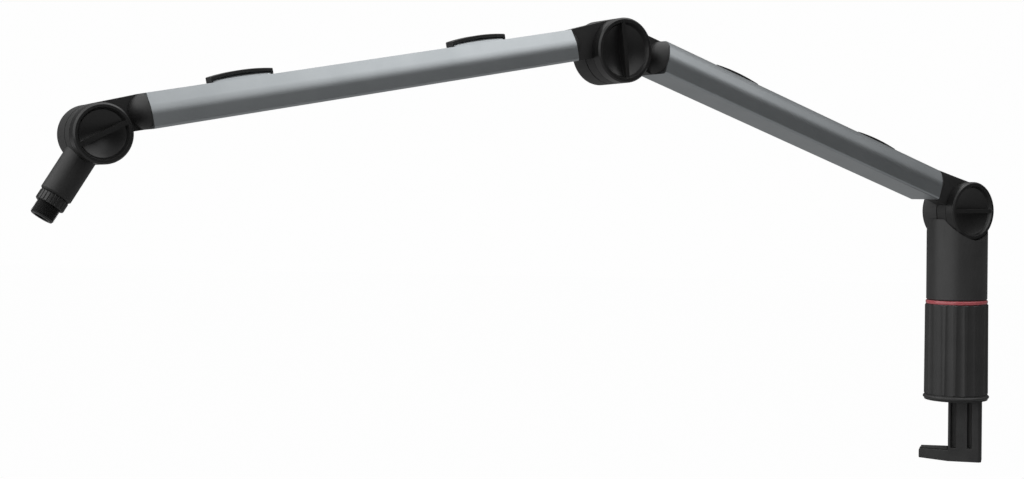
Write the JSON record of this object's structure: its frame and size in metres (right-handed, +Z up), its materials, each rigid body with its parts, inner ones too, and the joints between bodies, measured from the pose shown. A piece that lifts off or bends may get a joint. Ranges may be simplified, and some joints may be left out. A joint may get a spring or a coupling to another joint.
{
  "type": "microphone boom arm",
  "caption": "Desk-clamped microphone boom arm: fluted clamp column, swivelling shoulder, two tubular arms on friction hinges with finger knobs, and a tilting threaded head.",
  "frame": {"origin": "on the swivel axis, in the plane of the desk's top, at the underside of the clamp's upper pad", "axes": "+Z up along the swivel axis; the clamp's foot reaches towards -X; the arm, swivelled aside, reaches between -X and -Y"},
  "size_m": [0.5641, 0.6462, 0.37],
  "materials": {
    "grey_anodised_tube": "grey anodised, satin",
    "black_moulding": "fine moulded texture",
    "black_knob": "satin moulded",
    "black_clip": "satin moulded",
    "black_column": "black anodised, satin",
    "black_sleeve": "fine moulded texture",
    "black_casting": "black powder coat",
    "raw_casting": "as cast",
    "red_ring": "polished",
    "black_rubber": "matt",
    "steel": "turned",
    "brass": "turned",
    "nylon": "natural",
    "black_thread": "black anodised",
    "dark_ring": "black anodised, knurled"
  },
  "bodies": {
    "clamp_core": {"desk_pad": "black_rubber", "base_plate": "black_casting", "core_post": "raw_casting", "core_screws": "steel", "grip_thrust_washer": "black_moulding", "accent_ring": "red_ring", "swivel_spindle": "steel", "spindle_screws": "steel"},
    "grip": {"grip_sleeve": "black_sleeve"},
    "jaw": {"clamp_jaw": "black_casting", "jaw_pad": "black_rubber"},
    "column": {"swivel_column": "black_column", "swivel_bush_lower": "brass", "swivel_bush_upper": "brass", "swivel_grub_screw": "steel", "shoulder_bolt": "steel", "shoulder_friction_washer": "nylon", "shoulder_back_cap": "black_moulding"},
    "shoulder_knob": {"shoulder_knob": "black_knob", "shoulder_knob_insert": "brass"},
    "lower_arm": {"lower_arm_tube": "grey_anodised_tube", "lower_arm_shoulder_fitting": "black_moulding", "lower_arm_elbow_fitting": "black_moulding", "lower_arm_screws": "steel", "lower_arm_clip_near": "black_clip", "lower_arm_clip_far": "black_clip", "elbow_bolt": "steel", "elbow_friction_washer": "nylon", "elbow_back_cap": "black_moulding"},
    "elbow_knob": {"elbow_knob": "black_knob", "elbow_knob_insert": "brass"},
    "upper_arm": {"upper_arm_tube": "grey_anodised_tube", "upper_arm_elbow_fitting": "black_moulding", "upper_arm_wrist_fitting": "black_moulding", "upper_arm_screws": "steel", "upper_arm_clip_near": "black_clip", "upper_arm_clip_far": "black_clip", "wrist_bolt": "steel", "wrist_friction_washer": "nylon", "wrist_back_cap": "black_moulding"},
    "wrist_knob": {"wrist_knob": "black_knob", "wrist_knob_insert": "brass"},
    "mic_head": {"mic_holder": "black_moulding", "mic_thread_stud": "black_thread"},
    "lock_ring": {"mic_lock_ring": "dark_ring"}
  },
  "joints": [
    {"name": "grip_turn", "type": "hinge", "parent": "clamp_core", "child": "grip", "pos_m": [0, 0, 0], "axis": [0, 0, 1], "range_deg": [-612, 1260]},
    {"name": "jaw_slide", "type": "slide", "parent": "clamp_core", "child": "jaw", "axis": [0, 0, 1], "range_m": [-0.017, 0.035]},
    {"name": "base_swivel", "type": "hinge", "parent": "clamp_core", "child": "column", "pos_m": [0, 0, 0], "axis": [0, 0, 1], "continuous": true},
    {"name": "shoulder_knob_turn", "type": "hinge", "parent": "column", "child": "shoulder_knob", "pos_m": [0, 0, 0.1667], "axis": [0.7565, -0.6539, 0], "range_deg": [0, 300]},
    {"name": "shoulder_tilt", "type": "hinge", "parent": "column", "child": "lower_arm", "pos_m": [0, 0, 0.1667], "axis": [-0.7565, 0.6539, 0], "range_deg": [-18.5, 71.5]},
    {"name": "elbow_knob_turn", "type": "hinge", "parent": "lower_arm", "child": "elbow_knob", "pos_m": [-0.24285, -0.28095, 0.29096], "axis": [0.7565, -0.6539, 0], "range_deg": [0, 300]},
    {"name": "elbow_tilt", "type": "hinge", "parent": "lower_arm", "child": "upper_arm", "pos_m": [-0.24285, -0.28095, 0.29096], "axis": [-0.7565, 0.6539, 0], "range_deg": [-110, 28]},
    {"name": "wrist_knob_turn", "type": "hinge", "parent": "upper_arm", "child": "wrist_knob", "pos_m": [-0.50381, -0.58284, 0.22174], "axis": [0.7565, -0.6539, 0], "range_deg": [0, 300]},
    {"name": "wrist_tilt", "type": "hinge", "parent": "upper_arm", "child": "mic_head", "pos_m": [-0.50381, -0.58284, 0.22174], "axis": [-0.7565, 0.6539, 0], "range_deg": [-85, 110]},
    {"name": "lock_ring_turn", "type": "hinge", "parent": "mic_head", "child": "lock_ring", "pos_m": [-0.50381, -0.58284, 0.22174], "axis": [-0.3587, -0.4149, -0.8362], "continuous": true}
  ],
  "couplings": [
    {"joint": "grip_turn", "follows": "jaw_slide", "rad_per_m": 628.32}
  ]
}
